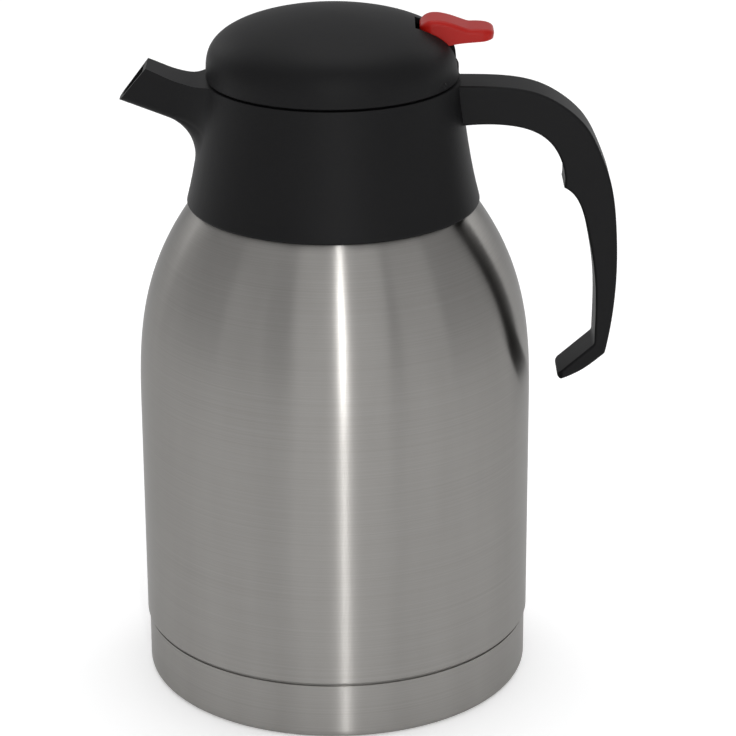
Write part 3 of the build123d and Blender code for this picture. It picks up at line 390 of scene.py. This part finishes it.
def tidy_mesh(piece):
    """Merge a piece's seams, turn its faces outwards, smooth it between creases, print its size."""
    work = bmesh.new()
    work.from_mesh(piece.data)
    bmesh.ops.remove_doubles(work, verts=work.verts, dist=MERGE_DISTANCE)
    bmesh.ops.recalc_face_normals(work, faces=work.faces)
    for face in work.faces:
        face.smooth = True
    for edge in work.edges:
        if len(edge.link_faces) == 2:
            edge.smooth = edge.calc_face_angle(0.0) < CREASE
    work.to_mesh(piece.data)
    work.free()
    points = np.array([vertex.co for vertex in piece.data.vertices]) / MM
    box = [points.min(axis=0).round(2).tolist(), points.max(axis=0).round(2).tolist()]
    print(piece.name, len(piece.data.polygons), "faces, mm", box)


print("a crease is an edge that bends by", round(math.degrees(CREASE)), "degrees or more")


# %% [markdown]
# ## The wall of the flask
#
# The outer wall is spun: a tube turns on a lathe and a roller presses it in over a form. Its
# shoulder therefore follows a rule, and Geometry Nodes can hold that rule. A line runs up the
# axis, and Curve to Mesh sweeps a circle along it, scaled to the wall's radius at each height.
# With s the share of the shoulder's height, that radius is neck + (wall - neck) * (1 - s^3)^1.125:
# full at first, turning in ever faster towards the neck. Below, the wall steps in to the necked
# end that the base cup is pressed over, and that step is the thin dark groove round the foot. The
# CAD solid has the same sizes; this wall is finer, so that the upright highlight runs over it
# without a kink. The tree makes the outer face alone, and a Solidify modifier then gives the sheet
# its 0.6 mm.


# %% Wall: the sizes
WALL_SIZES = {
    "Foot Height": 3.6 * MM,
    "Step Height": 21.6 * MM,
    "Step Rise": 1.2 * MM,
    "Step Depth": 1.3 * MM,
    "Shoulder Start": 104.0 * MM,
    "Shoulder End": 199.5 * MM,
    "Mouth Height": 205.4 * MM,
    "Wall Radius": 72.5 * MM,
    "Neck Radius": 39.5 * MM,
    "Rows": 230,
    "Sides": 160,
}
SHOULDER_BEND = 3.0  # the power of s in the rule: how late the shoulder starts to turn in
SHOULDER_FULLNESS = 1.125  # the outer power: how round it stays on the way
SHEET = 0.6 * MM
print("the wall has", WALL_SIZES["Rows"], "rows of", WALL_SIZES["Sides"], "sides")

# %% Wall: a line up the axis
tree, given, output = new_rule("spun_wall", WALL_SIZES)
foot = add(tree, "ShaderNodeCombineXYZ", {"Z": (given, "Foot Height")})
mouth = add(tree, "ShaderNodeCombineXYZ", {"Z": (given, "Mouth Height")})
axis = add(tree, "GeometryNodeCurvePrimitiveLine", {"Start": (foot, 0), "End": (mouth, 0)})
rows = add(tree, "GeometryNodeResampleCurve", {"Curve": (axis, 0), "Count": (given, "Rows")})
place = add(tree, "GeometryNodeInputPosition")
height = add(tree, "ShaderNodeSeparateXYZ", {0: (place, 0)})
print("the line up the axis takes", len(tree.nodes), "nodes")

# %% Wall: the radius at each height
share = add(
    tree,
    "ShaderNodeMapRange",
    {
        "Value": (height, "Z"),
        "From Min": (given, "Shoulder Start"),
        "From Max": (given, "Shoulder End"),
    },
)
bent = add(tree, "ShaderNodeMath", {0: (share, 0), 1: SHOULDER_BEND}, operation="POWER")
rest_of = add(tree, "ShaderNodeMath", {0: 1.0, 1: (bent, 0)}, operation="SUBTRACT")
fullness = add(
    tree, "ShaderNodeMath", {0: (rest_of, 0), 1: SHOULDER_FULLNESS}, operation="POWER"
)
shoulder = add(
    tree,
    "ShaderNodeMapRange",
    {"Value": (fullness, 0), "To Min": (given, "Neck Radius"), "To Max": (given, "Wall Radius")},
)
step_top = add(
    tree,
    "ShaderNodeMath",
    {0: (given, "Step Height"), 1: (given, "Step Rise")},
    operation="ADD",
)
step = add(
    tree,
    "ShaderNodeMapRange",
    {
        "Value": (height, "Z"),
        "From Min": (given, "Step Height"),
        "From Max": (step_top, 0),
        "To Min": (given, "Step Depth"),
        "To Max": 0.0,
    },
)
radius = add(tree, "ShaderNodeMath", {0: (shoulder, 0), 1: (step, 0)}, operation="SUBTRACT")
print("with its radius it takes", len(tree.nodes), "nodes")

# %% Wall: the sweep
ring = add(
    tree, "GeometryNodeCurvePrimitiveCircle", {"Resolution": (given, "Sides"), "Radius": 1.0}
)
spun = add(
    tree,
    "GeometryNodeCurveToMesh",
    {"Curve": (rows, 0), "Profile Curve": (ring, 0), "Scale": (radius, 0)},
)
finish_rule(tree, spun, wall_steel, output)
print("spun_wall has", len(tree.nodes), "nodes")

# %% Wall: the piece
wall = grow(tree, "flask_wall", WALL_SIZES)
tidy_mesh(wall)
sheet = wall.modifiers.new("sheet", "SOLIDIFY")
sheet.thickness = SHEET
sheet.offset = -1.0  # the sheet grows inwards, so the outer face stays where the rule puts it
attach(wall, "flask")
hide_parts("outer_shell")


# %% [markdown]
# ## The valve spring
#
# The spring that shuts the pouring valve is wound from 0.8 mm wire: five turns, of which the first
# and the last lie closed, so that both ends sit flat. A spiral gives the turns, and a rule spreads
# them: every turn rises by one wire, and what is left of the length goes into the open turns. When
# the thumb lever lifts the stem, the real spring gets shorter under its cap.


# %% Spring: the turns
SPRING_SIZES = {
    "Foot Height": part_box("valve_spring")[0][2],
    "Length": 12.6 * MM,
    "Coil Radius": 4.9 * MM,
    "Wire": 0.8 * MM,
    "Turns": 5.0,
}
POINTS_PER_TURN = 40
WIRE_SIDES = 12

tree, given, output = new_rule("wound_spring", SPRING_SIZES)
coil = add(
    tree,
    "GeometryNodeCurveSpiral",
    {
        "Resolution": POINTS_PER_TURN,
        "Rotations": (given, "Turns"),
        "Start Radius": (given, "Coil Radius"),
        "End Radius": (given, "Coil Radius"),
        "Height": 0.0,
    },
)
along = add(tree, "GeometryNodeSplineParameter")
print("the coil of", SPRING_SIZES["Turns"], "turns lies flat so far")

# %% Spring: how the turns rise
closed_end = add(tree, "ShaderNodeMath", {0: 1.0, 1: (given, "Turns")}, operation="DIVIDE")
open_end = add(tree, "ShaderNodeMath", {0: 1.0, 1: (closed_end, 0)}, operation="SUBTRACT")
spread = add(
    tree,
    "ShaderNodeMapRange",
    {"Value": (along, "Factor"), "From Min": (closed_end, 0), "From Max": (open_end, 0)},
    interpolation_type="SMOOTHSTEP",
)
stacked = add(
    tree, "ShaderNodeMath", {0: (given, "Turns"), 1: (given, "Wire")}, operation="MULTIPLY"
)
# From wire centre to wire centre, the turns share the length less one wire.
spare = add(
    tree, "ShaderNodeMath", {0: (given, "Length"), 1: (stacked, 0)}, operation="SUBTRACT"
)
free = add(tree, "ShaderNodeMath", {0: (spare, 0), 1: (given, "Wire")}, operation="SUBTRACT")
wound = add(
    tree, "ShaderNodeMath", {0: (along, "Factor"), 1: (stacked, 0)}, operation="MULTIPLY"
)
half_wire = add(tree, "ShaderNodeMath", {0: (given, "Wire"), 1: 0.5}, operation="MULTIPLY")
lowest = add(
    tree, "ShaderNodeMath", {0: (given, "Foot Height"), 1: (half_wire, 0)}, operation="ADD"
)
opened = add(
    tree,
    "ShaderNodeMath",
    {0: (spread, 0), 1: (free, 0), 2: (wound, 0)},
    operation="MULTIPLY_ADD",
)
rise = add(tree, "ShaderNodeMath", {0: (opened, 0), 1: (lowest, 0)}, operation="ADD")
lift = add(tree, "ShaderNodeCombineXYZ", {"Z": (rise, 0)})
raised = add(tree, "GeometryNodeSetPosition", {"Geometry": (coil, 0), "Offset": (lift, 0)})
print("with its rise it takes", len(tree.nodes), "nodes")

# %% Spring: the wire and the piece
wire_ring = add(
    tree,
    "GeometryNodeCurvePrimitiveCircle",
    {"Resolution": WIRE_SIDES, "Radius": (half_wire, 0)},
)
wire = add(
    tree,
    "GeometryNodeCurveToMesh",
    {"Curve": (raised, 0), "Profile Curve": (wire_ring, 0), "Fill Caps": True},
)
finish_rule(tree, wire, wire_steel, output)

spring = grow(tree, "coil_spring", SPRING_SIZES)
tidy_mesh(spring)
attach(spring, "valve")
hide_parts("valve_spring")
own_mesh(spring)


# %% [markdown]
# ## The screws of the spring cap
#
# Three pan-head tapping screws hold the cap over the spring. All three are one screw, so the tree
# makes one, cuts the cross recess out of its head, and sets a copy on each point of a
# three-cornered circle.


# %% Cap screws: the head
SCREW_SIZES = {
    "Seat Height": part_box("cap_screws")[1][2] - 1.5 * MM,
    "Ring Radius": 11.6 * MM,
    "Screws": 3,
    "Head Radius": 2.3 * MM,
    "Head Height": 1.5 * MM,
    "Shank Radius": 1.25 * MM,
    "Shank Length": 5.6 * MM,
    "Recess Width": 0.55 * MM,
    "Recess Depth": 0.8 * MM,
}
HEAD_ROWS = 9
HEAD_SIDES = 32
HEAD_BEND = 4.0  # a pan head keeps its width at first and rounds over towards the top
HEAD_TOP = 0.72  # share of its radius that is left at the top

tree, given, output = new_rule("ring_of_screws", SCREW_SIZES)
# A circle is swept up a short line, and its radius shrinks on the way.
head_top = add(tree, "ShaderNodeCombineXYZ", {"Z": (given, "Head Height")})
head_line = add(tree, "GeometryNodeCurvePrimitiveLine", {"End": (head_top, 0)})
head_rows = add(
    tree, "GeometryNodeResampleCurve", {"Curve": (head_line, 0), "Count": HEAD_ROWS}
)
along = add(tree, "GeometryNodeSplineParameter")
bulge = add(tree, "ShaderNodeMath", {0: (along, "Factor"), 1: HEAD_BEND}, operation="POWER")
slim = add(tree, "ShaderNodeMapRange", {"Value": (bulge, 0), "To Min": 1.0, "To Max": HEAD_TOP})
head_radius = add(
    tree, "ShaderNodeMath", {0: (slim, 0), 1: (given, "Head Radius")}, operation="MULTIPLY"
)
ring = add(
    tree, "GeometryNodeCurvePrimitiveCircle", {"Resolution": HEAD_SIDES, "Radius": 1.0}
)
head = add(
    tree,
    "GeometryNodeCurveToMesh",
    {
        "Curve": (head_rows, 0),
        "Profile Curve": (ring, 0),
        "Scale": (head_radius, 0),
        "Fill Caps": True,
    },
)
print("the head takes", len(tree.nodes), "nodes")

# %% Cap screws: the cross recess
RECESS_REACH = 1.1  # length of each bar of the cross, in head radii
QUARTER_TURN = (0.0, 0.0, math.radians(90))

bar_length = add(
    tree, "ShaderNodeMath", {0: (given, "Head Radius"), 1: RECESS_REACH}, operation="MULTIPLY"
)
# The bar is centred on the head's top, so it is twice as tall as the recess is deep.
bar_height = add(
    tree, "ShaderNodeMath", {0: (given, "Recess Depth"), 1: 2.0}, operation="MULTIPLY"
)
bar_size = add(
    tree,
    "ShaderNodeCombineXYZ",
    {"X": (bar_length, 0), "Y": (given, "Recess Width"), "Z": (bar_height, 0)},
)
bar = add(tree, "GeometryNodeMeshCube", {"Size": (bar_size, 0)})
bar_in_place = add(
    tree, "GeometryNodeTransform", {"Geometry": (bar, 0), "Translation": (head_top, 0)}
)
cross_bar = add(
    tree, "GeometryNodeTransform", {"Geometry": (bar_in_place, 0), "Rotation": QUARTER_TURN}
)
recessed = add(tree, "GeometryNodeMeshBoolean", operation="DIFFERENCE", solver="EXACT")
tree.links.new(head.outputs[0], recessed.inputs["Mesh 1"])
tree.links.new(bar_in_place.outputs[0], recessed.inputs["Mesh 2"])
tree.links.new(cross_bar.outputs[0], recessed.inputs["Mesh 2"])
print("with its recess it takes", len(tree.nodes), "nodes")

# %% Cap screws: the shank, and one whole screw
shank_end = add(
    tree, "ShaderNodeMath", {0: 0.0, 1: (given, "Shank Length")}, operation="SUBTRACT"
)
shank_low = add(tree, "ShaderNodeCombineXYZ", {"Z": (shank_end, 0)})
shank_line = add(
    tree, "GeometryNodeCurvePrimitiveLine", {"Start": (shank_low, 0), "End": (0.0, 0.0, 0.0)}
)
shank = add(
    tree,
    "GeometryNodeCurveToMesh",
    {
        "Curve": (shank_line, 0),
        "Profile Curve": (ring, 0),
        "Scale": (given, "Shank Radius"),
        "Fill Caps": True,
    },
)
screw = add(tree, "GeometryNodeJoinGeometry")
tree.links.new(recessed.outputs[0], screw.inputs[0])
tree.links.new(shank.outputs[0], screw.inputs[0])
print("one screw takes", len(tree.nodes), "nodes")

# %% Cap screws: the ring of three
seats = add(
    tree,
    "GeometryNodeMeshCircle",
    {"Vertices": (given, "Screws"), "Radius": (given, "Ring Radius")},
)
seat_level = add(tree, "ShaderNodeCombineXYZ", {"Z": (given, "Seat Height")})
seats_up = add(
    tree,
    "GeometryNodeTransform",
    {"Geometry": (seats, 0), "Translation": (seat_level, 0), "Rotation": QUARTER_TURN},
)
seat_points = add(tree, "GeometryNodeMeshToPoints", {"Mesh": (seats_up, 0)})
screws = add(
    tree, "GeometryNodeInstanceOnPoints", {"Points": (seat_points, 0), "Instance": (screw, 0)}
)
finish_rule(tree, screws, wire_steel, output)

screw_set = grow(tree, "cap_screw_set", SCREW_SIZES)
tidy_mesh(screw_set)
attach(screw_set, "lid")
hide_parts("cap_screws")


# %% [markdown]
# ## The thread of the stopper
#
# The lid turns a quarter and then lifts off, so its stopper carries a coarse two-start thread with
# tapered ends. It is one low ridge that follows a spiral, and the second start is the same ridge,
# half a turn on. The ridge stands only 0.3 mm proud: the well around it leaves 0.4 mm.


# %% Thread: the path and the section
THREAD_SIZES = {
    "Stopper Radius": 40.6 * MM,
    "Low Height": 220.4 * MM,
    "Climb": 6.0 * MM,
    "Share of Turn": 0.42,
    "Ridge Width": 1.9 * MM,
    "Ridge Height": 0.3 * MM,
    "Starts": 2,
}
THREAD_POINTS = 160  # along a whole turn
RIDGE_SIDES = 10

tree, given, output = new_rule("two_start_thread", THREAD_SIZES)
path = add(
    tree,
    "GeometryNodeCurveSpiral",
    {
        "Resolution": THREAD_POINTS,
        "Rotations": (given, "Share of Turn"),
        "Start Radius": (given, "Stopper Radius"),
        "End Radius": (given, "Stopper Radius"),
        "Height": (given, "Climb"),
    },
)
steady = add(tree, "GeometryNodeSetCurveNormal", {"Curve": (path, 0)}, mode="Z_UP")
# The section is an oval round the path, so that half of its height lies inside the stopper.
half_width = add(
    tree, "ShaderNodeMath", {0: (given, "Ridge Width"), 1: 0.5}, operation="MULTIPLY"
)
full_height = add(
    tree, "ShaderNodeMath", {0: (given, "Ridge Height"), 1: 2.0}, operation="MULTIPLY"
)
ridge_ring = add(
    tree,
    "GeometryNodeCurvePrimitiveCircle",
    {"Resolution": RIDGE_SIDES, "Radius": (half_width, 0)},
)
flatness = add(
    tree, "ShaderNodeMath", {0: (full_height, 0), 1: (given, "Ridge Width")}, operation="DIVIDE"
)
flatten = add(tree, "ShaderNodeCombineXYZ", {"X": (flatness, 0), "Y": 1.0, "Z": 1.0})
section = add(
    tree, "GeometryNodeTransform", {"Geometry": (ridge_ring, 0), "Scale": (flatten, 0)}
)
print("path and section take", len(tree.nodes), "nodes")

# %% Thread: one ridge with tapered ends
TAPER_RUN = 0.1  # share of the ridge's length that each taper takes
TIP_SCALE = 0.1  # what is left of the section at the very end

along = add(tree, "GeometryNodeSplineParameter")
from_end = add(tree, "ShaderNodeMath", {0: 1.0, 1: (along, "Factor")}, operation="SUBTRACT")
nearest = add(
    tree, "ShaderNodeMath", {0: (along, "Factor"), 1: (from_end, 0)}, operation="MINIMUM"
)
taper = add(
    tree,
    "ShaderNodeMapRange",
    {"Value": (nearest, 0), "From Max": TAPER_RUN, "To Min": TIP_SCALE},
    interpolation_type="SMOOTHSTEP",
)
ridge = add(
    tree,
    "GeometryNodeCurveToMesh",
    {
        "Curve": (steady, 0),
        "Profile Curve": (section, 0),
        "Scale": (taper, 0),
        "Fill Caps": True,
    },
)
print("one ridge takes", len(tree.nodes), "nodes")

# %% Thread: both starts, and the piece
# One point on the axis for each start, all in the same place, and a ridge turned on each.
start_points = add(
    tree, "GeometryNodeMeshLine", {"Count": (given, "Starts"), "Offset": (0.0, 0.0, 0.0)}
)
number = add(tree, "GeometryNodeInputIndex")
part_turn = add(
    tree, "ShaderNodeMath", {0: math.tau, 1: (given, "Starts")}, operation="DIVIDE"
)
turn = add(tree, "ShaderNodeMath", {0: (number, 0), 1: (part_turn, 0)}, operation="MULTIPLY")
heading = add(tree, "ShaderNodeCombineXYZ", {"Z": (turn, 0)})
ridges = add(
    tree,
    "GeometryNodeInstanceOnPoints",
    {"Points": (start_points, 0), "Instance": (ridge, 0), "Rotation": (heading, 0)},
)
level = add(tree, "ShaderNodeCombineXYZ", {"Z": (given, "Low Height")})
placed = add(tree, "GeometryNodeTransform", {"Geometry": (ridges, 0), "Translation": (level, 0)})
finish_rule(tree, placed, inner_black, output)

thread = grow(tree, "stopper_thread", THREAD_SIZES)
tidy_mesh(thread)
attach(thread, "lid")


# %% [markdown]
# ## The camera
#
# A carafe is mostly seen from the front and a little above, as it stands on a table before
# somebody. The camera stands about 1.1 m away and looks down by 21 degrees. Its lens is a long
# one, 145 mm on a 36 mm sensor, because a short lens would make the upright wall taper.


# %% Camera
CAMERA_PLACE = (0.01233, -1.0303, 0.5194)  # metres
LOOK_DOWN = 21.314  # degrees
ROLL = -0.274  # degrees
SENSOR = 36.0  # millimetres
LENS = 144.83  # millimetres
NEAREST_SEEN = 0.05  # metres

camera_data = bpy.data.cameras.new("camera")
camera_data.sensor_width = SENSOR
camera_data.lens = LENS
camera_data.clip_start = NEAREST_SEEN
camera = bpy.data.objects.new("camera", camera_data)
bpy.context.scene.collection.objects.link(camera)
tilt = Matrix.Rotation(math.radians(90 - LOOK_DOWN), 4, "X")
roll = Matrix.Rotation(math.radians(ROLL), 4, "Z")
camera.matrix_world = Matrix.Translation(CAMERA_PLACE) @ tilt @ roll
bpy.context.scene.camera = camera
print("camera looks down by", LOOK_DOWN, "degrees through a lens of", LENS, "mm")


# %% [markdown]
# ## The table and the light
#
# Polished things are drawn by what they mirror. The carafe stands on a sheet of white acrylic that
# is lit from below, so that its shadow stays faint and the sheet also fills the lower wall with
# light. Two narrow lamps in front, one high and one low, make the upright line on the steel. A
# large soft lamp in front and a weaker one on each side brighten the shoulder, so that it doesn't
# darken towards its edges. Two overhead draw the soft light on the dome. Two behind, left and
# right, light the far part of the table but stay out of the mirror direction of the lid's top.


# %% Table and surroundings
ROOM_LIGHT = 0.65  # strength of the even light from all round
TABLE_SIDE = 8.0  # metres, so that its edges stay out of sight
TABLE_GLOW = 0.28  # strength of the light that comes through the sheet

studio = bpy.data.worlds.new("studio")
bpy.context.scene.world = studio
studio.use_nodes = True
studio.node_tree.nodes["Background"].inputs["Color"].default_value = linear("#e9e9ea")
studio.node_tree.nodes["Background"].inputs["Strength"].default_value = ROOM_LIGHT
bpy.context.scene.view_settings.view_transform = "Standard"

bpy.ops.mesh.primitive_plane_add(size=TABLE_SIDE, location=(0, 0, 0))
floor = bpy.context.object
floor.name = "floor"
# Light comes through it as well as back from it: an even white with hardly any shine.
acrylic, tree, output = new_material("lit_white_acrylic")
glowing = add(
    tree,
    "ShaderNodeBsdfPrincipled",
    {
        "Base Color": linear("#f4f4f4"),
        "Roughness": 0.9,
        "Specular IOR Level": 0.1,
        "Emission Color": linear("#ffffff"),
        "Emission Strength": TABLE_GLOW,
    },
)
tree.links.new(glowing.outputs["BSDF"], output.inputs["Surface"])
floor.data.materials.append(acrylic)
print("table", floor.name, "and world", studio.name)


# %% Lamps
# Where each lamp stands, what it faces, its width and height, all in metres, and its watts.
LAMPS = {
    "strip": ((0.14, -1.6, 0.85), (0, 0, 0.1), (0.025, 1.7), 4.9),
    "low_strip": ((0.105, -1.15, 0.21), (0, 0, 0.15), (0.016, 0.4), 0.8),
    "front": ((0.2, -2.4, 1.2), (0, 0, 0.13), (2.8, 2.4), 10.5),
    "side_left": ((-2.3, -1.5, 1.1), (0, 0, 0.13), (1.5, 1.7), 1.9),
    "side_right": ((2.3, -1.5, 1.1), (0, 0, 0.13), (1.5, 1.7), 2.7),
    "overhead": ((0.05, 0.25, 1.3), (0, 0.03, 0.2), (0.8, 0.8), 3.6),
    "ceiling": ((-0.05, 0.15, 1.4), (0, 0.05, 0.1), (1.8, 1.7), 2.4),
    "backdrop_left": ((-2.0, 2.5, 1.4), (-0.5, 0.9, 0.0), (1.6, 1.6), 8.5),
    "backdrop_right": ((2.0, 2.5, 1.4), (0.5, 0.9, 0.0), (1.6, 1.6), 10.5),
}
for name, (where, aim, size, power) in LAMPS.items():
    data = bpy.data.lights.new(name, "AREA")
    data.shape = "RECTANGLE"
    data.size, data.size_y = size
    data.energy = power
    light = bpy.data.objects.new(name, data)
    bpy.context.scene.collection.objects.link(light)
    turn_to = (Vector(aim) - Vector(where)).to_track_quat("-Z", "Y").to_matrix().to_4x4()
    light.matrix_world = Matrix.Translation(where) @ turn_to
    print("lamp", name, "of", power, "W")
